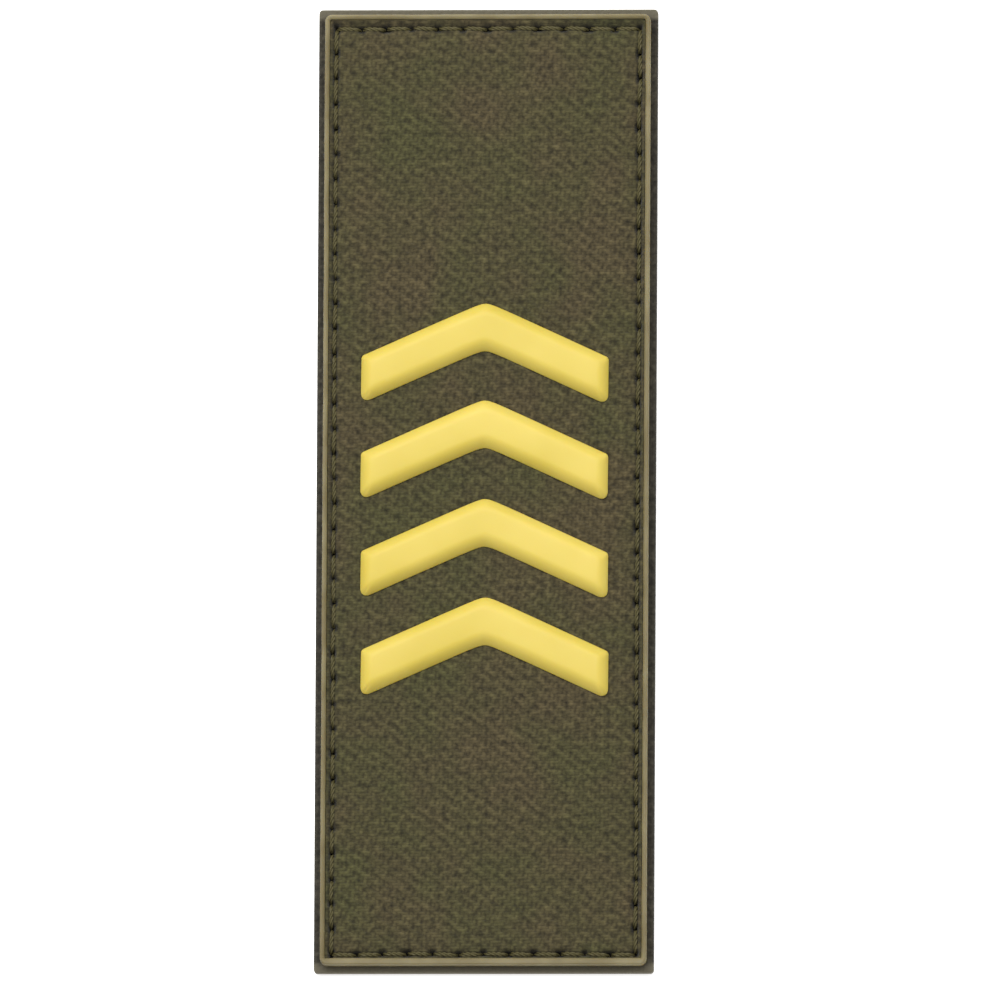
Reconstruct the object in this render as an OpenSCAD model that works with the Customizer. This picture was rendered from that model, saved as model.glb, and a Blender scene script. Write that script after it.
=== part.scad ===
// Rank insignia: a narrow upright panel of stiffened olive twill on a dark backing, framed by a
// pale raised bead, with a row of raised yellow chevrons across its middle.
// It lies on its back. X is its width, +Y points the way the chevrons point, +Z comes out of its
// front, and the origin is the middle of the back. All sizes are in millimetres.

/* [Backing] */
// Overall width of the insignia
patch_w = 35; // [33:0.5:50]
// Overall length of the insignia
patch_l = 100; // [90:0.5:140]
// Thickness of the backing sheet
backing_t = 1.2; // [0.8:0.1:2]
// Radius of the backing's corners, seen from the front
backing_corner_r = 0.5; // [0.2:0.1:1]

/* [Edge bead] */
// Strip of backing that shows outside the bead
flange_w = 0.7; // [0.4:0.1:1.2]
// Width of the bead
bead_w = 0.5; // [0.5:0.1:1]
// Height of the bead's crest above the face
bead_proud = 0.3; // [0.1:0.05:0.5]
// Radius of the bead's inner corners, seen from the front
bead_inner_r = 0.5; // [0.3:0.1:1.5]

/* [Face] */
// Thickness of the stiffened cloth face at its middle
face_t = 1.3; // [1:0.1:2]
// Depth of the stitch channel that runs just inside the bead
channel_d = 0.3; // [0.2:0.05:0.6]
// Width of the channel's flat floor
channel_w = 0.9; // [0.6:0.05:1.2]
// Width of the round shoulder between the channel and the flat of the face
shoulder_w = 1.1; // [0.8:0.1:1.6]

/* [Chevrons] */
// Number of chevrons
chevron_count = 4; // [1:1:5]
// Distance from the insignia's top edge to the first chevron's point
first_apex = 30.5; // [12:0.1:32]
// Distance from each chevron to the next
chevron_pitch = 10.2; // [8:0.1:10.5]
// Width across a chevron's two arms
chevron_w = 25.5; // [20:0.1:26]
// Width of an arm's band, square to the arm
band_w = 4.5; // [3:0.05:5]
// Slope of an arm below the horizontal, in degrees
arm_slope = 24.4; // [15:0.1:30]
// Height of a chevron above the face
chevron_h = 0.95; // [0.85:0.05:1.3]
// Radius of the round shoulders along a chevron's edges
chevron_r = 0.8; // [0.4:0.05:0.8]

/* [Hidden] */
$fn = 96;
// Clearance between the bead and the edge of the face
side_gap = 0.05;
bead_path_inset = flange_w + bead_w / 2;
bead_path_r = bead_inner_r + bead_w / 2;
face_inset = flange_w + bead_w + side_gap;
face_corner_r = bead_inner_r - side_gap;
field_inset = face_inset + channel_w;
field_z = backing_t + face_t;
channel_z = field_z - channel_d;
bead_z = field_z + bead_proud;
// The shoulder's arc leaves the flat of the face level, and meets the channel's floor
shoulder_r = (shoulder_w * shoulder_w + channel_d * channel_d) / (2 * channel_d);
// Overshoot that carries a cutting shape clear of what it cuts
over = 1;

// A rectangle with round corners, centred on the origin
module round_rectangle(w, l, r) {
    square([w - 2 * r, l], center = true);
    square([w, l - 2 * r], center = true);
    for (x = [-1, 1], y = [-1, 1])
        translate([x * (w / 2 - r), y * (l / 2 - r)]) circle(r);
}

// Carries a profile once round a rectangle with round corners. The profile's X is measured
// outwards from the path, and its Y is height.
module sweep_round(w, l, r) {
    for (quarter = [0:3]) {
        across = quarter % 2 == 0 ? w : l;
        along = quarter % 2 == 0 ? l : w;
        rotate(90 * quarter) {
            translate([across / 2, along / 2 - r, 0])
                rotate([90, 0, 0])
                    linear_extrude(along - 2 * r) children();
            translate([across / 2 - r, along / 2 - r, 0])
                rotate_extrude(angle = 90)
                    translate([r, 0]) children();
        }
    }
}

// The upper right quarter of a disc
module quarter_disc(r) {
    intersection() {
        circle(r);
        square(r);
    }
}

// Section through a band that starts at X = 0: upright sides and round shoulders
module ridge_section(w, h, r) {
    square([w, h - r]);
    translate([r, 0]) square([w - 2 * r, h]);
    translate([w - r, h - r]) quarter_disc(r);
    translate([r, h - r]) mirror([1, 0]) quarter_disc(r);
}

// The sheet that everything is sewn to. It shows as the dark line outside the bead.
module backing() {
    color("#413c2c")
        linear_extrude(backing_t)
            round_rectangle(patch_w, patch_l, backing_corner_r);
}

// Half-round bead on an upright foot, all the way round
module edge_bead() {
    foot_h = bead_z - backing_t - bead_w / 2;
    color("#8f8a6a")
        translate([0, 0, backing_t])
            sweep_round(patch_w - 2 * bead_path_inset, patch_l - 2 * bead_path_inset, bead_path_r) {
                translate([-bead_w / 2, 0]) square([bead_w, foot_h]);
                translate([0, foot_h]) circle(bead_w / 2);
            }
}

// Section through the shoulder, from the start of the flat at X = 0 out to the channel
module shoulder_section() {
    intersection() {
        translate([0, field_z - shoulder_r]) circle(shoulder_r);
        translate([0, channel_z]) square([shoulder_w, channel_d]);
    }
}

// The cloth face: a thin border that carries the stitches, and the raised field inside it
module face_panel() {
    flat_w = patch_w - 2 * (field_inset + shoulder_w);
    flat_l = patch_l - 2 * (field_inset + shoulder_w);
    color("#565039") {
        translate([0, 0, backing_t])
            linear_extrude(channel_z - backing_t)
                round_rectangle(patch_w - 2 * face_inset, patch_l - 2 * face_inset, face_corner_r);
        translate([-flat_w / 2, -flat_l / 2, channel_z])
            cube([flat_w, flat_l, channel_d]);
        for (quarter = [0:3]) {
            across = quarter % 2 == 0 ? flat_w : flat_l;
            along = quarter % 2 == 0 ? flat_l : flat_w;
            rotate(90 * quarter) {
                translate([across / 2, along / 2, 0])
                    rotate([90, 0, 0])
                        linear_extrude(along) shoulder_section();
                translate([across / 2, along / 2, 0])
                    rotate_extrude(angle = 90) shoulder_section();
            }
        }
    }
}

// The right arm of a chevron, with its point at the origin: a band that runs down the slope,
// rounded off at its upright outer end and cut straight where it meets the left arm
module chevron_arm() {
    arm_l = chevron_w / 2 / cos(arm_slope) + band_w;
    drop = arm_l * sin(arm_slope) + band_w;
    intersection() {
        rotate(-arm_slope)
            translate([-over, 0, 0])
                rotate([90, 0, 90])
                    linear_extrude(arm_l + over)
                        translate([-band_w, 0]) ridge_section(band_w, chevron_h, chevron_r);
        translate([-chevron_w / 2, over, 0])
            rotate([90, 0, 0])
                linear_extrude(drop + 2 * over) ridge_section(chevron_w, chevron_h, chevron_r);
        translate([0, -drop - over, -over])
            cube([chevron_w, drop + 2 * over, chevron_h + 2 * over]);
    }
}

// One chevron, counted from the top, lying on the face
module chevron(place) {
    color("#f4dc6c")
        translate([0, patch_l / 2 - first_apex - chevron_pitch * (place - 1), field_z]) {
            chevron_arm();
            mirror([1, 0, 0]) chevron_arm();
        }
}

backing();
edge_bead();
face_panel();
for (place = [1:chevron_count])
    chevron(place);
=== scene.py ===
# %% [markdown]
# # A sewn rank insignia
# The real thing is a stiff strip as long as a finger. A panel of olive twill lies on a dark
# cloth backing, a pale vinyl bead frames it, one line of stitches holds the layers together,
# and four soft vinyl chevrons are welded on top.
#
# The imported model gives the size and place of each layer. This lesson keeps those, and gives
# every layer the form and finish that the plain solids lack.

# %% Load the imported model
import math
import random

import bpy
import numpy as np
from mathutils import Matrix, Quaternion, Vector, noise


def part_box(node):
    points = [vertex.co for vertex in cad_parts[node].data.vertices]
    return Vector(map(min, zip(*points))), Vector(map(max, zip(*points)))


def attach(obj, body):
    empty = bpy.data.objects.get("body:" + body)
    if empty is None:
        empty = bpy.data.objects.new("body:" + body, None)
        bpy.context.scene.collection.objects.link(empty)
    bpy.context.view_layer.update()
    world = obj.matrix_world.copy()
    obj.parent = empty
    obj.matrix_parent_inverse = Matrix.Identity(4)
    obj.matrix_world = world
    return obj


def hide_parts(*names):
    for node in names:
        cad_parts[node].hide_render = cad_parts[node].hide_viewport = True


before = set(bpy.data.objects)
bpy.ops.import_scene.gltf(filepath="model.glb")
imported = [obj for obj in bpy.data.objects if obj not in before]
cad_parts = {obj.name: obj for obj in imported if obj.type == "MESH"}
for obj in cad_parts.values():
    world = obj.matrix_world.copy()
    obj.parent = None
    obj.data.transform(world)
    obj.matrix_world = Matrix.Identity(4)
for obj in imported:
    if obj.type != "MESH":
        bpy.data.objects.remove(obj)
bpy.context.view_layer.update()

# %% [markdown]
# ## Working in millimetres
# Blender's unit here is the metre, and this object is a few millimetres thick. It is easier to
# think in millimetres, so every size of a piece or a finish is in millimetres and is turned
# into metres once, when its mesh or its material is made. Only the card, the lamp and the
# camera, which are large, are given in metres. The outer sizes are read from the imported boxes,
# so the dressed pieces can't drift away from the solids that they stand for.

# %% Read the layers' sizes
MM = 0.001  # metres in a millimetre


def box_mm(node):
    """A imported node's lowest and highest corner, in millimetres."""
    low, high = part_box(node)
    return np.array(low) / MM, np.array(high) / MM


BACK_LOW, BACK_HIGH = box_mm("backing")
BEAD_LOW, BEAD_HIGH = box_mm("edge_bead")
FACE_LOW, FACE_HIGH = box_mm("face_panel")
CHEVRONS = [n for n in sorted(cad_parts) if n.startswith("chevron_")]
print("backing", BACK_HIGH - BACK_LOW, "face", FACE_HIGH - FACE_LOW, "chevrons", CHEVRONS)

# %% [markdown]
# ## From arrays to a mesh
# Every piece here is a sheet, a tube or a moulding with a simple rule behind it. Modifiers
# could build such pieces up, but an array of points follows the rule exactly, and NumPy works
# all the points out at once. `from_pydata` then turns points and faces into a mesh. Smooth
# shading hides the facets, and edges sharper than a given angle stay crisp.

# %% Make a piece from points and faces
SHARP_ANGLE = math.radians(50)


def make_piece(name, points_mm, faces, material):
    """A smooth-shaded mesh object that rides on the one body."""
    mesh = bpy.data.meshes.new(name)
    mesh.from_pydata((np.asarray(points_mm) * MM).tolist(), [], faces)
    mesh.shade_smooth()
    mesh.set_sharp_from_angle(angle=SHARP_ANGLE)
    mesh.materials.append(material)
    piece = bpy.data.objects.new(name, mesh)
    bpy.context.scene.collection.objects.link(piece)
    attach(piece, "root")
    print(name, "has", sum(len(f) - 2 for f in faces), "triangles")
    return piece


# %% Store a value at each point for the material
def add_values(piece, name, values):
    """One number for each point of the mesh, which an Attribute node can read by name."""
    layer = piece.data.attributes.new(name, "FLOAT", "POINT")
    layer.data.foreach_set("value", np.asarray(values, np.float32))


# %% [markdown]
# ## Colours and nodes
# Colours are picked as sRGB hex values, as a paint program shows them. Cycles works in linear
# light, so one function converts them. A material could be wired by hand in the node editor,
# but then nobody can read how it was made. A second small function adds any node with its
# settings and links, which keeps each material short enough to read.

# %% Turn sRGB hex into linear colour
def linear(code):
    """An sRGB hex value as linear red, green, blue and alpha."""
    channels = [int(code[k : k + 2], 16) / 255 for k in (1, 3, 5)]
    return [c / 12.92 if c <= 0.04045 else ((c + 0.055) / 1.055) ** 2.4 for c in channels] + [1]


# %% Add a node
def add(tree, kind, inputs=None, **settings):
    """Adds one shader node. Settings are its properties. Each input is a value, a socket to
    link, or a node whose first socket is linked."""
    made = tree.nodes.new("ShaderNode" + kind)
    for name, value in settings.items():
        setattr(made, name, value)
    for name, value in (inputs or {}).items():
        if isinstance(value, bpy.types.Node):
            value = value.outputs[0]
        if isinstance(value, bpy.types.NodeSocket):
            tree.links.new(value, made.inputs[name])
        else:
            made.inputs[name].default_value = value
    return made


# %% Start a material
def new_material(name):
    """An empty material, its node tree and its coordinates in metres on the object."""
    material = bpy.data.materials.new(name)
    material.use_nodes = True
    tree = material.node_tree
    tree.nodes.clear()
    return material, tree, add(tree, "TexCoord").outputs["Object"]


def per_mm(size):
    """The texture scale that makes one repeat this many millimetres wide."""
    return 1 / (size * MM)


# %% [markdown]
# ## Twill
# Both cloths here are twills. In a twill each thread floats over a few crossing threads and
# then dips under one, and the next thread does the same one crossing further along. The dips
# line up in fine diagonal ribs, which is what the eye sees. The face is a 3/1 twill whose
# floats run across the strip: its ribs lie a millimetre apart and fall to the right. The
# backing is a plainer, square 2/1 twill.
#
# Each thread could be a curve, but there are thousands of floats. A weave follows a rule, so
# the material can work out the height of each thread from the place alone. The coordinates are
# counted in threads. The row number shifts the pattern one crossing at a time, a modulo finds
# how far along its float a thread is, and two parabolas make the thread round across and
# arched along.

# %% Draw an arch
def arch(tree, distance, reach):
    """1 where distance is 0, falling along a parabola to 0 at reach, and 0 beyond."""
    share = add(tree, "Math", {0: distance, 1: reach}, operation="DIVIDE")
    fall = add(tree, "Math", {0: share, 1: share}, operation="MULTIPLY")
    return add(tree, "Math", {0: 1.0, 1: fall}, operation="SUBTRACT", use_clamp=True)


# %% Work out a twill's threads
FLOAT_SHORTER = 0.4  # crossings by which a float's arch ends before the dip's middle
ROW_REACH = 0.8  # a row's arch runs on past its edge at 0.5, so that the rows don't stand out
DIP_REACH = 0.6  # half width of the crossing thread that shows in a dip, in crossings
DIP_H = 0.6  # its height, where a float's is 1
THREAD_BLEND = 0.1  # how softly the two threads meet


def twill_threads(tree, place, float_mm, row_mm, repeat):
    """Height of the threads, 0 to 1, and a random value for each float. float_mm is the spacing
    of the crossings along a float, row_mm the spacing of the floating threads, and repeat the
    number of crossings from one dip to the next."""
    axes = add(tree, "SeparateXYZ", {0: place})
    column = add(tree, "Math", {0: axes.outputs["X"], 1: per_mm(float_mm)}, operation="MULTIPLY")
    row = add(tree, "Math", {0: axes.outputs["Y"], 1: per_mm(row_mm)}, operation="MULTIPLY")
    row_number = add(tree, "Math", {0: row}, operation="FLOOR")
    crossing = add(tree, "Math", {0: column, 1: row_number}, operation="ADD")
    along = add(tree, "Math", {0: crossing, 1: float(repeat)}, operation="FLOORED_MODULO")
    past_middle = add(tree, "Math", {0: along, 1: repeat / 2}, operation="SUBTRACT")
    from_middle = add(tree, "Math", {0: past_middle}, operation="ABSOLUTE")
    from_dip = add(tree, "Math", {0: repeat / 2, 1: from_middle}, operation="SUBTRACT")
    in_row = add(tree, "Math", {0: row}, operation="FRACT")
    off_middle = add(tree, "Math", {0: in_row, 1: 0.5}, operation="SUBTRACT")
    off_row = add(tree, "Math", {0: off_middle}, operation="ABSOLUTE")
    float_arch = arch(tree, from_middle, repeat / 2 - FLOAT_SHORTER)
    row_arch = arch(tree, off_row, ROW_REACH)
    over = add(tree, "Math", {0: float_arch, 1: row_arch}, operation="MULTIPLY")
    dip_arch = arch(tree, from_dip, DIP_REACH)
    under = add(tree, "Math", {0: dip_arch, 1: DIP_H}, operation="MULTIPLY")
    height = add(tree, "Math", {0: over, 1: under, 2: THREAD_BLEND}, operation="SMOOTH_MAX")
    floats = add(tree, "Math", {0: crossing, 1: float(repeat)}, operation="DIVIDE")
    float_number = add(tree, "Math", {0: floats}, operation="FLOOR")
    ticket = add(tree, "CombineXYZ", {0: float_number, 1: row_number})
    return height, add(tree, "TexWhiteNoise", {"Vector": ticket}, noise_dimensions="2D")


# %% [markdown]
# ## Dye
# The cloths are dyed in the piece, matte, with a faint sheen from loose fibres. Noise drawn out
# along the threads makes them uneven, as spun yarn is, and the dips are darker, since less
# light gets into them. A few floats are paler, where the dye took less, and softer noise at two
# larger sizes keeps the cloth from looking printed.
#
# Two values stored on the mesh change the colour further, because only the mesh knows where
# the seam and the edges are. The first is painted shade: the seam's groove and the needle holes
# are painted nearly black. The second paints the backing's ends paler, partly for the cut yarn's
# paler core and partly as painted light on the ends' edge and flange.

# %% Piece-dyed twill
CLOTH_FUZZ_MM = 0.14  # the real fibres are ten times finer and wouldn't show
MOTTLE_MM = 0.62  # the size of the patches where the yarn is a little fuller or thinner
DYE_DRIFT_MM = 8.0  # the size of the patches where the dye differs a little
DYE_RANGE = (0.35, 0.65)  # the part of the noise that the dye's two colours span
SLUB_STRETCH = [0.6, 1.0, 1.0]
SLUB_H, FUZZ_H = 0.7, 0.25  # how much they add to the height of the threads
DARK_BELOW, LIT_ABOVE = 0.2, 1.1  # heights between which the dips' colour gives way
PALE_POWER = 9.0  # raises the floats' random values, so that only a few stay high
DIMMEST = -0.5  # brightness of the cloth where all of the following are 0
TONE, PALE, SLUB, MOTTLE = 0.1, 0.15, 0.3, 2.5  # what each kind of unevenness adds to it


def dyed_twill(name, low, high, dip, float_mm, row_mm, repeat, depth_mm):
    """A matte twill whose dye drifts between two hex values, with a third in its dips."""
    material, tree, place = new_material(name)
    threads, tone = twill_threads(tree, place, float_mm, row_mm, repeat)
    drawn_out = add(tree, "VectorMath", {0: place, 1: SLUB_STRETCH}, operation="MULTIPLY")
    slubs = add(tree, "TexNoise", {"Vector": drawn_out, "Scale": per_mm(row_mm), "Detail": 2.0})
    fuzz = add(tree, "TexNoise", {"Vector": place, "Scale": per_mm(CLOTH_FUZZ_MM), "Detail": 2.0})
    drift = add(tree, "TexNoise", {"Vector": place, "Scale": per_mm(DYE_DRIFT_MM), "Detail": 3.0})
    mottle = add(tree, "TexNoise", {"Vector": place, "Scale": per_mm(MOTTLE_MM), "Detail": 3.0})
    pale = add(tree, "Math", {0: tone, 1: PALE_POWER}, operation="POWER")
    height = threads
    for part, share in ((slubs, SLUB_H), (fuzz, FUZZ_H)):
        height = add(tree, "Math", {0: part, 1: share, 2: height}, operation="MULTIPLY_ADD")
    uneven = DIMMEST
    for part, share in ((tone, TONE), (pale, PALE), (slubs, SLUB), (mottle, MOTTLE)):
        uneven = add(tree, "Math", {0: part, 1: share, 2: uneven}, operation="MULTIPLY_ADD")
    relief = add(tree, "Bump", {"Strength": 1.0, "Distance": depth_mm * MM, "Height": height})
    dye = add(tree, "MapRange", {0: drift, 1: DYE_RANGE[0], 2: DYE_RANGE[1]})
    dyed = add(tree, "Mix", {0: dye, 6: linear(low), 7: linear(high)}, data_type="RGBA")
    toned = add(tree, "VectorMath", {0: dyed.outputs[2], 3: uneven}, operation="SCALE")
    lit = add(tree, "MapRange", {0: height, 1: DARK_BELOW, 2: LIT_ABOVE})
    colour = add(tree, "Mix", {0: lit, 6: linear(dip), 7: toned}, data_type="RGBA").outputs[2]
    # Painted shade makes the seam's groove and the needle holes nearly black, and the backing's
    # ends are painted paler, for the cut core and as painted light.
    for stored, code in (("press_and_shade", "#0e0b05"), ("cut", "#625d4e")):
        share = add(tree, "Attribute", attribute_name=stored).outputs["Fac"]
        mixed = add(tree, "Mix", {0: share, 6: colour, 7: linear(code)}, data_type="RGBA")
        colour = mixed.outputs[2]
    finish = {
        "Base Color": colour,
        "Roughness": 0.85,
        "IOR": 1.5,
        "Specular IOR Level": 0.2,
        "Sheen Weight": 0.1,
        "Sheen Roughness": 0.5,
        "Normal": relief,
    }
    add(tree, "OutputMaterial", {"Surface": add(tree, "BsdfPrincipled", finish)})
    return material


# %% [markdown]
# ## Soft vinyl
# The chevrons and the bead are soft PVC, moulded in a polished tool. The surface is smooth
# with a satin gloss. A plain glossy material would look as hard as enamel: in real soft vinyl
# a little light travels inside, so edges glow slightly and shadows on it are soft. Subsurface
# scattering does that. Very low, slow waves in the surface keep it from looking machined.

# %% Moulded soft vinyl
TOOL_GRAIN_MM = 0.16  # what is left of the tool's polishing marks, drawn coarse enough to show
TOOL_GRAIN_H = 0.18  # its height, as a share of the waves'
VINYL_WAVE_H = 0.03
VINYL_GLOW = [1.0, 0.65, 0.2]  # how far red, green and blue travel, against each other


def soft_vinyl(name, low, high, drift_mm, roughness, wave_mm, glow_mm):
    """Satin soft PVC whose colour drifts between two hex values. The sizes in millimetres are
    those of the colour's patches and the waves, and how far red light travels inside."""
    material, tree, place = new_material(name)
    drift = add(tree, "TexNoise", {"Vector": place, "Scale": per_mm(drift_mm), "Detail": 2.0})
    dye = add(tree, "ValToRGB", {"Fac": drift})
    for stop, position, code in zip(dye.color_ramp.elements, DYE_RANGE, (low, high)):
        stop.position = position
        stop.color = linear(code)
    waves = add(tree, "TexNoise", {"Vector": place, "Scale": per_mm(wave_mm), "Detail": 1.0})
    grain = add(tree, "TexNoise", {"Vector": place, "Scale": per_mm(TOOL_GRAIN_MM), "Detail": 2.0})
    height = add(tree, "Math", {0: grain, 1: TOOL_GRAIN_H, 2: waves}, operation="MULTIPLY_ADD")
    relief = add(tree, "Bump", {"Strength": 1.0, "Distance": VINYL_WAVE_H * MM, "Height": height})
    finish = {
        "Base Color": dye,
        "Roughness": roughness,
        "IOR": 1.52,
        "Specular IOR Level": 0.28,
        "Subsurface Weight": 0.4,
        "Subsurface Radius": VINYL_GLOW,
        "Subsurface Scale": glow_mm * MM,
        "Normal": relief,
    }
    add(tree, "OutputMaterial", {"Surface": add(tree, "BsdfPrincipled", finish)})
    return material


# %% [markdown]
# ## Bonded thread
# The seam is sewn with bonded polyester: three plies, twisted and sealed with a thin resin. It
# is a shade darker than the cloth. A bump pattern could fake the plies, but it would slide
# along a bent thread, so they are real geometry, and the material only adds the fine filaments
# and a dull shine.

# %% Bonded polyester thread
FILAMENT_MM = 0.09  # the real filaments are a quarter of this and wouldn't show


def bonded_thread():
    """Dull, resin-sealed polyester. Its filaments are paler than the gaps between them, which are
    painted darker as painted shade.
    """
    material, tree, place = new_material("bonded_thread")
    strands = add(tree, "TexNoise", {"Vector": place, "Scale": per_mm(FILAMENT_MM), "Detail": 2.0})
    relief = add(tree, "Bump", {"Strength": 0.8, "Distance": 0.02 * MM, "Height": strands})
    # The low gaps between filaments get the darker tone, as painted shade.
    two_tones = {0: strands, 6: linear("#37321b"), 7: linear("#585231")}
    finish = {
        "Base Color": add(tree, "Mix", two_tones, data_type="RGBA").outputs[2],
        "Roughness": 0.6,
        "IOR": 1.55,
        "Specular IOR Level": 0.25,
        "Normal": relief,
    }
    add(tree, "OutputMaterial", {"Surface": add(tree, "BsdfPrincipled", finish)})
    return material


# %% Make the finishes
FLOAT_MM = 0.435  # spacing of the face cloth's crossings along a float
ROW_MM = 0.3  # spacing of its floating threads
FLOAT_REPEAT = 4  # over three, under one
FACE_TWILL = dyed_twill(
    "face_twill", "#3f3d23", "#443c27", "#221d10", FLOAT_MM, ROW_MM, FLOAT_REPEAT, depth_mm=0.08
)
BACKING_TWILL = dyed_twill(
    "backing_twill", "#312e27", "#37342b", "#1f1d18", 0.36, 0.36, repeat=3, depth_mm=0.06
)
THREAD = bonded_thread()
BEAD_VINYL = soft_vinyl(
    "khaki_vinyl", "#665c3d", "#766d4e", drift_mm=4.0, roughness=0.55, wave_mm=1.6, glow_mm=0.2
)
CHEVRON_VINYL = soft_vinyl(
    "yellow_vinyl", "#beaa47", "#c5b152", drift_mm=9.0, roughness=0.46, wave_mm=3.0, glow_mm=0.4
)
print("materials:", [m.name for m in bpy.data.materials])

# %% [markdown]
# ## Where the needle went
# The seam runs in the middle of a channel just inside the bead, at about ten stitches to the
# inch. Each side takes a whole number of stitches, with a hole at each corner where the work
# was turned. An array of equal stitches would look like a machine part. A sewer guides the
# strip by hand, so the holes wander by a few hundredths, and the seam runs a little further in
# along the upper end and the left side. The random numbers have a fixed seed, so the seam is
# the same each time the script runs.

# %% Place the needle holes
STITCH = 2.6  # length of a stitch
SEAM_INSET = 1.8  # distance from the strip's edge to the seam
LEFT_EXTRA, TOP_EXTRA = 0.05, 0.36  # how much further in it runs at the left and at the top
HOLE_DRIFT = 0.08  # how far a hole strays along or across the seam
HOLE_R = 0.42  # half the length of a needle hole, which the thread pulls long
HOLE_PULL = (0.55, 1.25)  # how open the holes are, from the least to the most
SEAM_LOW = BACK_LOW[:2] + (SEAM_INSET + LEFT_EXTRA, SEAM_INSET)
SEAM_HIGH = BACK_HIGH[:2] - (SEAM_INSET, SEAM_INSET + TOP_EXTRA)
SEAM_MIDDLE = (SEAM_LOW + SEAM_HIGH) / 2
SEAM_HALF = (SEAM_HIGH - SEAM_LOW) / 2


def needle_holes():
    """The holes' places, once round from the top left corner."""
    draw = random.Random(12)
    (left, low), (right, high) = SEAM_LOW, SEAM_HIGH
    corners = [(left, high), (right, high), (right, low), (left, low)]
    holes = []
    for start, end in zip(corners, corners[1:] + corners[:1]):
        start, end = np.array(start), np.array(end)
        count = round(float(np.abs(end - start).max()) / STITCH)
        for k in range(count):
            stray = [draw.uniform(-HOLE_DRIFT, HOLE_DRIFT) for _ in range(2)]
            holes.append(start + (end - start) * k / count + (np.array(stray) if k else 0))
    return np.array(holes)


HOLES = needle_holes()
OPEN = np.random.default_rng(4).uniform(*HOLE_PULL, len(HOLES))
ON_LONG_SIDES = np.abs(HOLES[:, 0] - SEAM_MIDDLE[0]) > SEAM_HALF[0] - 4 * HOLE_DRIFT
print(len(HOLES), "stitches,", int(ON_LONG_SIDES.sum()), "of them on the long sides")

# %% [markdown]
# ## A sheet as a height field
# The face has a channel, puckers and needle holes only where the seam is. An even grid that is
# fine enough for them would need more than twice the faces, so the grid is fine there and
# coarse elsewhere. The lines are placed by density: I say how wide a grid step should be at
# each place, add up how many steps that makes, and cut the sum into equal parts.

# %% Place grid lines by density
SAMPLES = 12001


def grid_lines(half, holes, step):
    """Places from -half to half. step gives the spacing wanted, from the distance to the edge
    and the distance to the nearest hole."""
    fine = np.linspace(-half, half, SAMPLES)
    to_hole = np.abs(fine[:, None] - holes[None, :]).min(axis=1)
    wanted = step(half - np.abs(fine), to_hole)
    run = np.concatenate([[0], np.cumsum(np.diff(fine) / wanted[1:])])
    return np.interp(np.linspace(0, run[-1], round(run[-1]) + 1), run, fine)


# %% Measure how far a point lies inside a rectangle with round corners
def inset(x, y, half_x, half_y, r):
    """Distance inwards from the nearest edge of a rectangle round the origin."""
    in_x, in_y = half_x - np.abs(x), half_y - np.abs(y)
    round_part = r - np.hypot(r - in_x, r - in_y)
    return np.where((in_x < r) & (in_y < r), round_part, np.minimum(in_x, in_y))


def inside_seam(x, y, r):
    """How far a point lies inside the seam's line, if that has corners of radius r. It is
    measured from a larger rectangle, so that it goes on evenly outside the line."""
    half_x, half_y = SEAM_HALF + SEAM_INSET
    from_line = inset(x - SEAM_MIDDLE[0], y - SEAM_MIDDLE[1], half_x, half_y, SEAM_INSET + r)
    return from_line - SEAM_INSET


# %% Round a grid's corners
def round_corners(x, y, half_x, half_y, r):
    """Draws the square corners of a grid in to arcs, without folding a cell. r is one radius,
    or one for each point of the grid."""
    a = np.clip((np.abs(x) - (half_x - r)) / r, 0, 1)
    b = np.clip((np.abs(y) - (half_y - r)) / r, 0, 1)
    pull = np.where(a * b > 0, np.maximum(a, b) / np.maximum(np.hypot(a, b), 1e-9), 1)
    x = np.where(a * b > 0, np.sign(x) * (half_x - r + r * a * pull), x)
    y = np.where(a * b > 0, np.sign(y) * (half_y - r + r * b * pull), y)
    return x, y


# %% Close a height field into a slab
def slab(name, x, y, z, rim, material, faces_up=True):
    """A grid of points as one side, then rings round its border for the rim, and a flat cap.
    rim lists the rings as (distance in from the border, height)."""
    columns, rows = x.shape
    points = [np.stack([x, y, z], axis=-1).reshape(-1, 3)]
    number = np.arange(columns * rows).reshape(columns, rows)
    faces = []
    for i in range(columns - 1):
        for j in range(rows - 1):
            quad = (number[i, j], number[i + 1, j], number[i + 1, j + 1], number[i, j + 1])
            faces.append(tuple(map(int, quad if faces_up else quad[::-1])))
    border = np.concatenate([number[:-1, 0], number[-1, :-1], number[:0:-1, -1], number[0, :0:-1]])
    edge = points[0][border]
    reach = np.abs(edge[:, :2]).max(axis=0)
    start = columns * rows
    around = len(border)
    first = [int(n) for n in border]
    for distance, height in rim:
        ring = edge.copy()
        ring[:, :2] *= 1 - distance / reach
        ring[:, 2] = height
        points.append(ring)
        second = list(range(start, start + around))
        for k in range(around):
            n = (k + 1) % around
            quad = (first[n], first[k], second[k], second[n])
            faces.append(quad if faces_up else quad[::-1])
        first = second
        start += around
    faces.append(tuple(first[::-1] if faces_up else first))
    return make_piece(name, np.concatenate(points), faces, material)


# %% [markdown]
# ## The cloth face
# The twill is stretched over a stiffener. The seam pulls it down into a channel, with a long,
# gentle slope up to the field on one side and a short, steep lip against the bead on the
# other. Each needle hole is a small pit, and the thread's pull puckers the cloth beside it. The
# weld sinks a shallow moat round each chevron.
#
# This could be sculpted or simulated, but all of it is height, so it is one sum of simple
# terms, which comes out the same each time. The ribs of the twill are in it too, in step with
# the material's threads. The threads are too fine for the mesh and stay in the material.

# %% Describe a chevron's band
ARM_SLOPE = math.radians(24.4)
POINT_BLUNT = 0.6  # how far the rounding of the point reaches along the arms


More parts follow.
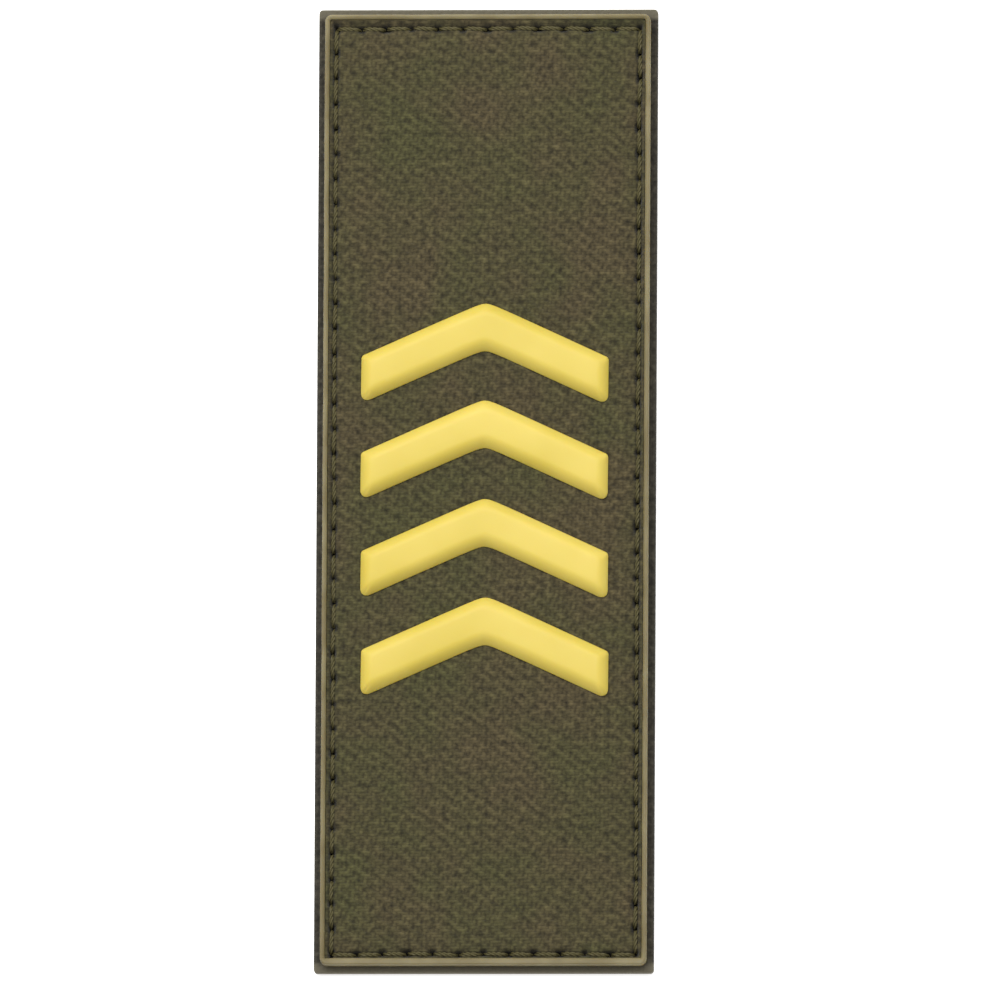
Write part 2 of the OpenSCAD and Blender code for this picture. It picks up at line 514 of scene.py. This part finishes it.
def chevron_shape(node):
    """Half width, height of the point, and thickness along Y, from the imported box."""
    low, high = box_mm(node)
    half = high[0]
    return half, high[1], (high[1] - low[1]) - half * math.tan(ARM_SLOPE)


def chevron_top_edge(x, node):
    """Height along Y of the band's upper edge. The point is rounded like a hyperbola's."""
    _, point, _ = chevron_shape(node)
    return point - math.tan(ARM_SLOPE) * np.sqrt(x * x + POINT_BLUNT * POINT_BLUNT)


def outside_chevron(x, y, node):
    """How far a point lies outside a chevron's outline."""
    half, _, thick = chevron_shape(node)
    middle = chevron_top_edge(x, node) - thick / 2
    beside = (np.abs(y - middle) - thick / 2) * math.cos(ARM_SLOPE)
    beyond = np.abs(x) - half
    both = np.hypot(np.maximum(beside, 0), np.maximum(beyond, 0))
    return np.where(both > 0, both, np.maximum(beside, beyond))


# %% Name the sizes of the face's relief
FACE_CORNER_R = 0.2
THINNEST = 0.03  # cloth that is left under the deepest pit
CHANNEL_D = 0.05  # depth of the channel below the field
LIP_H = 0.2  # how far the cloth climbs from the seam towards the bead
CLIMB_START, CLIMB_W = 0.15, 1.6  # where the slope up to the field starts, and its width
CLIMB_CORNER_R = 1.05  # how round the slope's corners are
GROOVE_D = 0.33  # depth of the groove that the thread pulls into the channel
GROOVE_IN = 0.2  # half its width towards the field
GROOVE_OUT = 0.76  # half its width towards the bead, as a share of the way there
GROOVE_CORNER_R = 0.05
PRESS_SHADE_MOST = 0.48  # how hard the cloth is pressed in the groove, where 1 is a needle hole. It flattens the ribs and sets the painted shade
PRESS_SHADE_IN = 0.22  # how far that reaches towards the field
PRESS_SHADE_FADE = 1.5  # how soon it ends towards the bead. 1 is an even fade
PIT_D = 0.7  # depth of a needle hole
PIT_IN, PIT_OUT = 0.4, 0.26  # half its width, towards the field and towards the bead
PUCKER_D, PUCKER_R = 0.1, 0.7  # the dent that the pull leaves round a hole
MOAT_D, MOAT_W = 0.03, 0.4  # the moat beside a chevron


# %% Work out the face's heights
def face_height(x, y):
    """Height of the face over a grid of places, and a mask, 0 to 1, of where the cloth is pressed,
    which also paints shade in the groove and the needle holes.
    """
    from_edge = inset(x, y, FACE_HIGH[0], FACE_HIGH[1], FACE_CORNER_R)
    from_seam = inside_seam(x, y, GROOVE_CORNER_R)
    inwards = np.maximum(from_seam, 0)
    outwards = np.clip(-from_seam / np.maximum(from_edge - from_seam, 0.01), 0, 1)
    press_and_shade = PRESS_SHADE_MOST * np.exp(-((inwards / PRESS_SHADE_IN) ** 2))
    press_and_shade = press_and_shade * (1 - outwards) ** PRESS_SHADE_FADE
    climb = np.clip((inside_seam(x, y, CLIMB_CORNER_R) - CLIMB_START) / CLIMB_W, 0, 1)
    z = FACE_HIGH[2] - CHANNEL_D * (1 + np.cos(math.pi * climb)) / 2
    z += LIP_H * np.sin(math.pi / 2 * outwards)
    z -= GROOVE_D * np.exp(-((inwards / GROOVE_IN) ** 2) - (outwards / GROOVE_OUT) ** 2)
    pit_w = np.where(from_seam > 0, PIT_IN, PIT_OUT)
    for hole, on_long_side, pull in zip(HOLES, ON_LONG_SIDES, OPEN):
        dx, dy = x - hole[0], y - hole[1]
        run, side = (dy, dx) if on_long_side else (dx, dy)
        pit = np.exp(-((run / (HOLE_R * pull)) ** 4) - (side / pit_w) ** 4)
        z -= pull * (PIT_D * pit + PUCKER_D * np.exp(-((dx * dx + dy * dy) / PUCKER_R**2)))
        # A needle hole is painted fully dark, as painted shade.
        press_and_shade = np.maximum(press_and_shade, pit)
    for node in CHEVRONS:
        z -= MOAT_D * np.exp(-((np.maximum(outside_chevron(x, y, node), 0) / MOAT_W) ** 2))
    return np.maximum(z, FACE_LOW[2] + THINNEST), press_and_shade


# %% Add the ribs and the cloth's unevenness
RIB_H = 0.045  # how far a rib swells above and below the cloth's middle height
RIB_UNEVEN = 0.7  # how much higher and lower than that some ribs are
RIB_PATCH = (1.6, 1.1)  # size of the patches with higher or lower ribs
PILLOW_H = 0.012  # unevenness of the stretched cloth
PILLOW = (3.0, 2.2)


def rib_height(x, y):
    """The twill's ribs. A float's middle lies half a repeat past its start."""
    turns = x / (FLOAT_REPEAT * FLOAT_MM) + y / (FLOAT_REPEAT * ROW_MM)
    return -np.cos(2 * math.pi * (turns - 0.5 / FLOAT_REPEAT))


def drift(x, y, size_x, size_y):
    """Slow, smooth noise over a grid of places, about -1 to 1."""
    places = zip(x.ravel() / size_x, y.ravel() / size_y)
    return np.array([noise.noise(Vector((a, b, size_x))) for a, b in places]).reshape(x.shape)


# %% Make the face
SEAM_BAND, SEAM_STEP = 1.4, 0.12  # the border that holds the seam, and the grid's step there
HOLE_BAND, HOLE_STEP = 0.5, 0.16  # the same beside the holes
FIELD_STEP_X, FIELD_STEP_Y = 0.25, 0.2


def face_step(coarse):
    """Fine at the border, medium at the holes, and coarse elsewhere."""

    def step(to_edge, to_hole):
        inner = np.where(to_hole < HOLE_BAND, min(HOLE_STEP, coarse), coarse)
        return np.where(to_edge < SEAM_BAND, SEAM_STEP, inner)

    return step


def make_face():
    xs = grid_lines(FACE_HIGH[0], HOLES[~ON_LONG_SIDES, 0], face_step(FIELD_STEP_X))
    ys = grid_lines(FACE_HIGH[1], HOLES[ON_LONG_SIDES, 1], face_step(FIELD_STEP_Y))
    x, y = np.meshgrid(xs, ys, indexing="ij")
    x, y = round_corners(x, y, FACE_HIGH[0], FACE_HIGH[1], FACE_CORNER_R)
    z, press_and_shade = face_height(x, y)
    z += RIB_H * rib_height(x, y) * (1 - press_and_shade) * (1 + RIB_UNEVEN * drift(x, y, *RIB_PATCH))
    z += PILLOW_H * drift(x, y, *PILLOW)
    rim = [(0, FACE_LOW[2] + 0.1), (0, FACE_LOW[2])]
    face = slab("twill_face", x, y, z, rim, FACE_TWILL)
    rim_points = len(face.data.vertices) - press_and_shade.size
    # The face's rim, under the bead, is painted nearly black all round, as painted shade.
    add_values(face, "press_and_shade", np.concatenate([press_and_shade.ravel(), np.ones(rim_points)]))
    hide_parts("face_panel")
    print("face grid", x.shape)
    return face


FACE = make_face()

# %% [markdown]
# ## The backing
# The backing is a little larger than the face, so it shows as a dark line all round. It is a
# woven tape that was cut to length: its long edges are dark selvedges, and its ends are cut.
# The ends are painted paler up their edge and a little onto the top, partly for the yarn's paler
# core and partly as painted light on the flange at the ends. On its underside the bobbin thread
# lies in a shallow groove, pulled in at each hole.
#
# A bevelled box would do for the top, but not for the groove. The underside is the side with
# form, so that side is the height field here, and the rim and the flat top are rings and a cap.

# %% Make the backing
EDGE_R = 0.16  # softness of the edge
BACKING_CORNER_R = 0.4
BOBBIN_GROOVE_D, BOBBIN_GROOVE_W = 0.42, 0.3  # depth and half width
BOBBIN_HOLE_D, BOBBIN_HOLE_R = 0.25, 0.25
BOBBIN_CORNER_R = 0.01
PALE_END_REACH, PALE_END_FADE = 1.2, 0.4  # how far from each end the paler paint reaches, and its fade
PALE_END_SHARE = (1, 1, 1, 0.9, 0.8, 0.75, 0.7, 0.6)  # how plainly, ring by ring up the rim
TOP_RINGS = (0.4, 0.7)  # rings that carry that a little way onto the flat top


def backing_step(to_edge, to_hole):
    """Very fine at the edge, fine along the seam, medium at the holes, and coarse elsewhere."""
    inner = np.where(to_hole < 0.4, 0.2, 0.6)
    return np.where(to_edge < 0.3, 0.06, np.where(to_edge < 2.6, 0.17, inner))


def make_backing():
    half_x, half_y, top = BACK_HIGH
    xs = grid_lines(half_x, HOLES[~ON_LONG_SIDES, 0], backing_step)
    ys = grid_lines(half_y, HOLES[ON_LONG_SIDES, 1], backing_step)
    x, y = np.meshgrid(xs, ys, indexing="ij")
    x, y = round_corners(x, y, half_x, half_y, BACKING_CORNER_R)
    depth = np.clip(inset(x, y, half_x, half_y, BACKING_CORNER_R), 0, None)
    edge = np.clip(EDGE_R - depth, 0, EDGE_R)
    z = EDGE_R - np.sqrt(EDGE_R**2 - edge**2)
    from_seam = inside_seam(x, y, BOBBIN_CORNER_R)
    z += BOBBIN_GROOVE_D * np.exp(-((from_seam / BOBBIN_GROOVE_W) ** 2))
    for hole in HOLES:
        from_hole = (x - hole[0]) ** 2 + (y - hole[1]) ** 2
        z += BOBBIN_HOLE_D * np.exp(-from_hole / BOBBIN_HOLE_R**2)
    rim = [(0, EDGE_R), (0, top / 2), (0, top - EDGE_R)]
    for turn in (30, 60, 90):
        angle = math.radians(turn)
        rim.append((EDGE_R * (1 - math.cos(angle)), top - EDGE_R * (1 - math.sin(angle))))
    rim += [(distance, top) for distance in TOP_RINGS]
    backing = slab("cloth_backing", x, y, z, rim, BACKING_TWILL, faces_up=False)
    around = (len(backing.data.vertices) - x.size) // len(rim)
    rim_y = np.array([v.co.y for v in backing.data.vertices])[x.size :] / MM
    # Both ends are painted paler, partly for the cut yarn's core and partly as painted light on the
    # ends' edge and flange.
    at_end = np.clip((np.abs(rim_y) - half_y + PALE_END_REACH) / PALE_END_FADE, 0, 1)
    cut = np.repeat(PALE_END_SHARE, around) * at_end
    add_values(backing, "cut", np.concatenate([np.zeros(x.size), cut]))
    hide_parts("backing")
    return backing


BACKING = make_backing()

# %% [markdown]
# ## The bead
# The bead is a half round of pale vinyl on an upright foot, with its crest a little towards
# the outside. A curve with a bevel could carry its section round, but would keep it the same
# all the way. The real one changes: the seam beside it pulls it down a hair at each hole, heat
# leaves it a little uneven, so its highlight isn't a ruled line, and along the lower end it was
# pressed harder and has spread inwards. So the section is placed ring by ring round a rectangle
# with round corners, and each ring is bent a little.

# %% Lay the bead's path
def round_rectangle_path(half_x, half_y, r, step):
    """Points and outward directions round a rectangle with round corners, anticlockwise."""
    places, outward = [], []
    for quarter in range(4):
        turn = quarter * math.pi / 2
        across, along = (half_x, half_y) if quarter % 2 == 0 else (half_y, half_x)
        run = 2 * (along - r)
        straight = round(run / step)
        local = [((across, -along + r + run * k / straight), 0) for k in range(straight)]
        arc = max(6, round(r * math.pi / 2 / step * 2))
        for k in range(arc):
            angle = math.pi / 2 * k / arc
            centre = (across - r, along - r)
            place = (centre[0] + r * math.cos(angle), centre[1] + r * math.sin(angle))
            local.append((place, angle))
        for (px, py), angle in local:
            c, s = math.cos(turn), math.sin(turn)
            places.append((c * px - s * py, s * px + c * py))
            outward.append((math.cos(turn + angle), math.sin(turn + angle)))
    return np.array(places), np.array(outward)


# %% Draw the bead's section
BEAD_W = 0.5
CREST_OUT = 0.09  # how far the crest lies outside the bead's middle


def bead_section():
    """Distance outwards and height round the section, from the outer foot over the crest."""
    foot, crest, half = BEAD_LOW[2], BEAD_HIGH[2], BEAD_W / 2
    spring = crest - half
    upright = [(half, foot), (half, foot + 0.3), (half, (foot + spring) / 2 + 0.2)]
    arc = [
        (half * math.cos(a) + CREST_OUT * math.sin(a) ** 2, spring + half * math.sin(a))
        for a in np.linspace(0, math.pi, 17)
    ]
    return np.array(upright + arc + [(-u, z) for u, z in reversed(upright)])


# %% Make the bead
BEAD_STEP = 0.2  # length of one facet along the bead
BEAD_CORNER = 0.45  # radius of the bead's own line at the corners
PULL_REACH = 0.9  # how far from a hole the bead feels the thread's pull
PULL_DOWN, PULL_IN = 0.05, 0.03
WAVER_H, WAVER_LENGTH = 0.025, 2.5  # how the crest rises and falls
LEAN_W, LEAN_LENGTH = 0.03, 4.0  # how it leans out and in
LOW_END_SPREAD = 0.75  # how much wider the bead's inner half is along the lower end
SPREAD_START, SPREAD_FADE = 0.5, 0.4  # how far above the end that starts, and its fade


def make_bead():
    half_x, half_y = BEAD_HIGH[0] - BEAD_W / 2, BEAD_HIGH[1] - BEAD_W / 2
    places, outward = round_rectangle_path(half_x, half_y, BEAD_CORNER, BEAD_STEP)
    section = bead_section()
    lift = (section[:, 1] - BEAD_LOW[2]) / (BEAD_HIGH[2] - BEAD_LOW[2])
    points = []
    for place, out in zip(places, outward):
        near = np.exp(-(np.hypot(*(HOLES - place).T).min() / PULL_REACH) ** 2)
        waver = noise.noise(Vector((place[0], place[1], 3.0)) / WAVER_LENGTH)
        lean = noise.noise(Vector((place[0], place[1], 9.0)) / LEAN_LENGTH)
        down = PULL_DOWN * near + WAVER_H * waver
        low_end = np.clip((-place[1] - half_y + SPREAD_START) / SPREAD_FADE, 0, 1)
        inner = np.where(section[:, 0] < 0, 1 + LOW_END_SPREAD * low_end, 1)
        across = section[:, 0] * inner + lift * (LEAN_W * lean - PULL_IN * near)
        ring = np.empty((len(section), 3))
        ring[:, :2] = place + across[:, None] * out
        ring[:, 2] = section[:, 1] - down * lift**2
        points.append(ring)
    count, around = len(places), len(section)
    faces = []
    for k in range(count):
        n = (k + 1) % count
        for m in range(around):
            q = (m + 1) % around
            faces.append((k * around + m, n * around + m, n * around + q, k * around + q))
    bead = make_piece("raised_bead", np.concatenate(points), faces, BEAD_VINYL)
    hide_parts("edge_bead")
    return bead


BEAD = make_bead()

# %% [markdown]
# ## The chevrons
# Each chevron is a band with upright ends, a low upright foot and round shoulders all the way
# round, cast in one piece. An outline with a bevel would have a hard line where the bevel ends.
# Here the outline is a grid instead: one direction runs from end to end, the other from the
# lower edge to the upper one, and the height follows the distance to the nearest edge. A smooth
# minimum of the two distances softens the mitre at the ends, as a cutter leaves it in the
# mould. The sharper lower corners are rounder than the upper ones. The chevrons were laid by
# hand for welding, and sit a little askew.

# %% Blend two distances
def smooth_min(a, b, k):
    """The smaller of the two, blended where they differ by less than k."""
    mix = np.maximum(k - np.abs(a - b), 0) / k
    return np.minimum(a, b) - mix * mix * k / 4


# %% Space a chevron's grid lines
def eased(total, shoulder, steps, flat_steps):
    """Places from 0 to total that crowd together where the shoulders turn down."""
    bend = shoulder * (1 - np.cos(np.linspace(0, math.pi / 2, steps)))
    flat = np.linspace(shoulder, total - shoulder, flat_steps + 1)[1:-1]
    return np.concatenate([bend, flat, (total - bend)[::-1]])


# %% Make the chevrons
FOOT_H = 0.05  # upright part of a chevron's side
SUNK = 0.1  # how far the foot reaches down into the moat
SHOULDER_W = 1.25
SHOULDER_BEND = 2.1  # 1 is a straight slope, 2 a parabola
BAND_CROWN = 0.12  # how much higher the middle of the band is than its edges
UPPER_CORNER_R, LOWER_CORNER_R = 0.25, 1.0  # rounding of the ends' corners, seen from the front
MITRE_SOFTNESS = 0.5  # away from the edge, and less towards it, so that no corner is dimpled
ASKEW = math.radians(-0.5)  # turn of the chevrons against the strip
SLIPS = [(-0.09, -0.01), (-0.1, 0.13), (-0.05, 0.11), (0.03, 0.09)]  # and off their marks
SHOULDER_STEPS, ACROSS_STEPS, ALONG_STEPS = 11, 10, 110


def make_chevron(node, slip):
    half, _, thick = chevron_shape(node)
    low, high = box_mm(node)
    width = thick * math.cos(ARM_SLOPE)
    s, t = np.meshgrid(
        eased(2 * half, SHOULDER_W, SHOULDER_STEPS, ALONG_STEPS),
        eased(width, SHOULDER_W, SHOULDER_STEPS, ACROSS_STEPS),
        indexing="ij",
    )
    from_end, from_side = np.minimum(s, 2 * half - s), np.minimum(t, width - t)
    softness = np.clip(np.minimum(from_end, from_side), 0.001, MITRE_SOFTNESS)
    reach = smooth_min(from_end, from_side, softness)
    bend = np.clip(1 - reach / SHOULDER_W, 0, 1)
    top = high[2] - BAND_CROWN
    z = top - (top - low[2] - FOOT_H) * bend**SHOULDER_BEND
    z += BAND_CROWN * (1 - (2 * t / width - 1) ** 2)
    corner_r = np.where(t < width / 2, LOWER_CORNER_R, UPPER_CORNER_R)
    x, across = round_corners(s - half, t - width / 2, half, width / 2, corner_r)
    y = chevron_top_edge(x, node) + (across - width / 2) / math.cos(ARM_SLOPE)
    middle = (y.max() + y.min()) / 2
    rim = [(0, low[2] + 0.1), (0, low[2] - SUNK)]
    chevron = slab("moulded_" + node, x, y - middle, z, rim, CHEVRON_VINYL)
    laid = Matrix.Translation((slip[0] * MM, (middle + slip[1]) * MM, 0))
    chevron.data.transform(laid @ Matrix.Rotation(ASKEW, 4, "Z"))
    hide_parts(node)
    return chevron


MOULDED = [make_chevron(node, slip) for node, slip in zip(CHEVRONS, SLIPS)]

# %% [markdown]
# ## The stitches
# A lockstitch shows as one short length of thread from each hole to the next. The thread
# leaves its hole steeply, lies along the channel and dives again, and it slants a little,
# because the two threads lock around each other. Three plies wind round the stitch's middle
# line. Copies of one stitch would all be equally long and straight, so each is wound anew from
# its own two holes, and all of them are joined in one mesh.

# %% Join rings of points into a tube
def tube_faces(rings, around, start):
    """Quads between rings of points that follow each other in the point list, and two caps."""
    faces = []
    for ring in range(rings - 1):
        here = start + ring * around
        for k in range(around):
            a = here + k
            b = here + (k + 1) % around
            faces.append((a, b, b + around, a + around))
    last = start + (rings - 1) * around
    faces.append(tuple(range(start, start + around))[::-1])
    faces.append(tuple(range(last, last + around)))
    return faces


# %% Wind the plies of each stitch
PLIES = 3
PLY_R = 0.11  # radius of a ply
PLY_OFFSET = 0.115  # distance from the stitch's middle line to a ply's
LAY = 1.7  # length in which a ply goes once round
PLY_TURN = 0.37  # how much further round each stitch starts than the last, in turns
SLANT = 0.06
DIVE = 0.7  # how far the thread drops into its hole


def stitches(name, level, side, clear, segments, sides):
    """All stitches on one side of the strip as one mesh. level is the height of the groove that
    they lie in, side is 1 on the front and -1 behind, and clear is how far from a hole's middle
    the thread comes up."""
    t = np.linspace(0, 1, segments + 1)
    turn = np.linspace(0, 2 * math.pi, sides, endpoint=False)
    points, faces = [], []
    for k, hole in enumerate(HOLES):
        run = HOLES[(k + 1) % len(HOLES)] - hole
        start = hole + run * clear / np.hypot(*run)
        run = run * (1 - 2 * clear / np.hypot(*run))
        length = float(np.hypot(*run))
        across = np.array([-run[1], run[0], 0]) / length
        line = np.empty((segments + 1, 3))
        line[:, :2] = start + run * t[:, None]
        line += across * (SLANT * (1 - 2 * t))[:, None]
        line[:, 2] = level + side * (PLY_OFFSET + PLY_R * 0.6 - DIVE * np.abs(2 * t - 1) ** 4)
        tangent = np.gradient(line, axis=0)
        tangent /= np.linalg.norm(tangent, axis=1)[:, None]
        up = np.cross(tangent, across)
        for ply in range(PLIES):
            angle = 2 * math.pi * (ply / PLIES + t * length / LAY + PLY_TURN * k)
            core = line + PLY_OFFSET * (
                np.cos(angle)[:, None] * across + np.sin(angle)[:, None] * up
            )
            tube = (
                core[:, None, :]
                + PLY_R * np.cos(turn)[None, :, None] * across
                + PLY_R * np.sin(turn)[None, :, None] * up[:, None, :]
            )
            faces += tube_faces(segments + 1, sides, len(points) * (segments + 1) * sides)
            points.append(tube.reshape(-1, 3))
    return make_piece(name, np.concatenate(points), faces, THREAD)


# %% Sew the front and the back
FRONT_LEVEL = FACE_HIGH[2] - CHANNEL_D - GROOVE_D
BACK_LEVEL = BOBBIN_GROOVE_D + 0.03
FRONT_STITCHES = stitches("border_stitches", FRONT_LEVEL, side=1, clear=0.22, segments=22, sides=7)
BACK_STITCHES = stitches("back_stitches", BACK_LEVEL, side=-1, clear=0.05, segments=14, sides=6)

# %% [markdown]
# ## The table it lies on
# The picture shows the strip alone on plain white. A floor that glows all over would swallow
# the shadow, and without the shadow nobody sees how thick the strip is. So it is a sheet of
# matte white card that glows a little and is lit for the rest.

# %% White card
CARD_FIBRE_MM = 1.5  # fibres lie together in clumps of this size


def white_card():
    """Matte uncoated card with a faint tooth."""
    material, tree, place = new_material("white_card")
    fibres = add(tree, "TexNoise", {"Vector": place, "Scale": per_mm(CARD_FIBRE_MM), "Detail": 3.0})
    relief = add(tree, "Bump", {"Strength": 0.2, "Distance": 0.02 * MM, "Height": fibres})
    finish = {
        "Base Color": linear("#f7f6f3"),
        "Roughness": 0.9,
        "Normal": relief,
        "Emission Color": linear("#ffffff"),
        "Emission Strength": 0.5,
    }
    add(tree, "OutputMaterial", {"Surface": add(tree, "BsdfPrincipled", finish)})
    return material


# %% Lay the card
FLOOR_SIZE = 3.0  # in metres
FLOOR_DROP = 0.00002  # in metres, keeps the card clear of the backing's own underside


def make_floor():
    mesh = bpy.data.meshes.new("floor")
    half = FLOOR_SIZE / 2
    corners = [(-half, -half), (half, -half), (half, half), (-half, half)]
    mesh.from_pydata([(x, y, -FLOOR_DROP) for x, y in corners], [], [(0, 1, 2, 3)])
    mesh.materials.append(white_card())
    floor = bpy.data.objects.new("floor", mesh)
    bpy.context.scene.collection.objects.link(floor)
    print("card", FLOOR_SIZE, "m wide")


make_floor()

# %% [markdown]
# ## Light
# The light in the picture is soft and comes from above: the upper edges of the chevrons are
# bright, the lower ones shade to brown, and the channel under the top bead is dark. A sun lamp
# would draw hard shadows. One large square lamp hangs high over the strip, past its upper end,
# and gives soft ones. A pale sky fills them. It is brighter on the lamp's side, as a room is
# beside its window.

# %% Hang the lamp
LAMP_DISTANCE, LAMP_SIZE = 0.8, 0.7  # in metres
LAMP_WATTS = 8.2
LAMP_ELEVATION = math.radians(61)
LAMP_BEARING = math.radians(107)  # anticlockwise from +X, seen from above


def hang_lamp():
    flat, up = math.cos(LAMP_ELEVATION), math.sin(LAMP_ELEVATION)
    towards = Vector((flat * math.cos(LAMP_BEARING), flat * math.sin(LAMP_BEARING), up))
    data = bpy.data.lights.new("window_light", "AREA")
    data.shape = "SQUARE"
    data.size = LAMP_SIZE
    data.energy = LAMP_WATTS
    lamp = bpy.data.objects.new("window_light", data)
    lamp.location = towards * LAMP_DISTANCE
    lamp.rotation_euler = towards.to_track_quat("Z", "Y").to_euler()
    bpy.context.scene.collection.objects.link(lamp)
    print("lamp at", [round(v, 2) for v in lamp.location])


hang_lamp()

# %% Fill the shadows
SKY_LOW, SKY_HIGH = 0.66, 0.86  # strength past the strip's lower end, and past its upper end


def hang_sky():
    world = bpy.data.worlds.new("pale_room")
    world.use_nodes = True
    tree = world.node_tree
    direction = add(tree, "TexCoord").outputs["Generated"]
    upwards = add(tree, "SeparateXYZ", {0: direction}).outputs["Y"]
    strength = add(tree, "MapRange", {0: upwards, 1: -1.0, 2: 1.0, 3: SKY_LOW, 4: SKY_HIGH})
    background = tree.nodes["Background"]
    background.inputs["Color"].default_value = (1, 1, 1, 1)
    tree.links.new(strength.outputs[0], background.inputs["Strength"])
    bpy.context.scene.world = world
    print("sky from", SKY_LOW, "to", SKY_HIGH)


hang_sky()

# %% [markdown]
# ## Camera
# The picture is taken with a long lens, nearly straight from the front. The dark edge of the
# backing looks narrow at the top and wide at the bottom, so the camera sits about seven
# degrees below the square view, and three degrees to the right of it. The strip also leans a
# little to the right. I could turn and push the camera until the picture fits. It is quicker to
# measure the strip's four edges in the picture, work out how many millimetres a pixel spans,
# and place the camera so that the strip lands there.

# %% Turn the camera
VIEW_FROM = (0.055, -0.125, 1)  # the direction that the camera looks from
LEAN = math.radians(0.3)


def camera_turn():
    """Looks at the strip from VIEW_FROM with the strip's length upright, then leans."""
    back = Vector(VIEW_FROM).normalized()
    right = Vector((0, 1, 0)).cross(back).normalized()
    upright = Matrix((right, back.cross(right), back)).transposed()
    return upright.to_quaternion() @ Quaternion((0, 0, 1), LEAN)


# %% Aim the camera
FRAME_PX = (1000, 1001)
LEFT_PX, RIGHT_PX = 316.5, 656.3
TOP_PX, BOTTOM_PX = 9.6, 972.7
CAMERA_DISTANCE = 3.5  # in metres
SENSOR = 36.0  # Blender counts the sensor and the lens in millimetres


def aim_camera():
    mm_per_px = (BACK_HIGH[0] - BACK_LOW[0]) / (RIGHT_PX - LEFT_PX)
    data = bpy.data.cameras.new("camera")
    data.sensor_fit = "HORIZONTAL"
    data.sensor_width = SENSOR
    data.lens = SENSOR * CAMERA_DISTANCE / (FRAME_PX[0] * mm_per_px * MM)
    data.clip_start = 0.1
    camera = bpy.data.objects.new("camera", data)
    turn = camera_turn()
    right = (FRAME_PX[0] - LEFT_PX - RIGHT_PX) / 2 * mm_per_px * MM
    up = (TOP_PX + BOTTOM_PX - FRAME_PX[1]) / 2 * mm_per_px * MM
    middle = Vector((0, 0, BACK_HIGH[2] * MM / 2))
    camera.location = middle + turn @ Vector((right, up, CAMERA_DISTANCE))
    camera.rotation_euler = turn.to_euler()
    bpy.context.scene.collection.objects.link(camera)
    bpy.context.scene.camera = camera
    print("frame spans", round(FRAME_PX[0] * mm_per_px, 1), "mm, lens", round(data.lens), "mm")


aim_camera()
bpy.context.scene.view_settings.view_transform = "Standard"
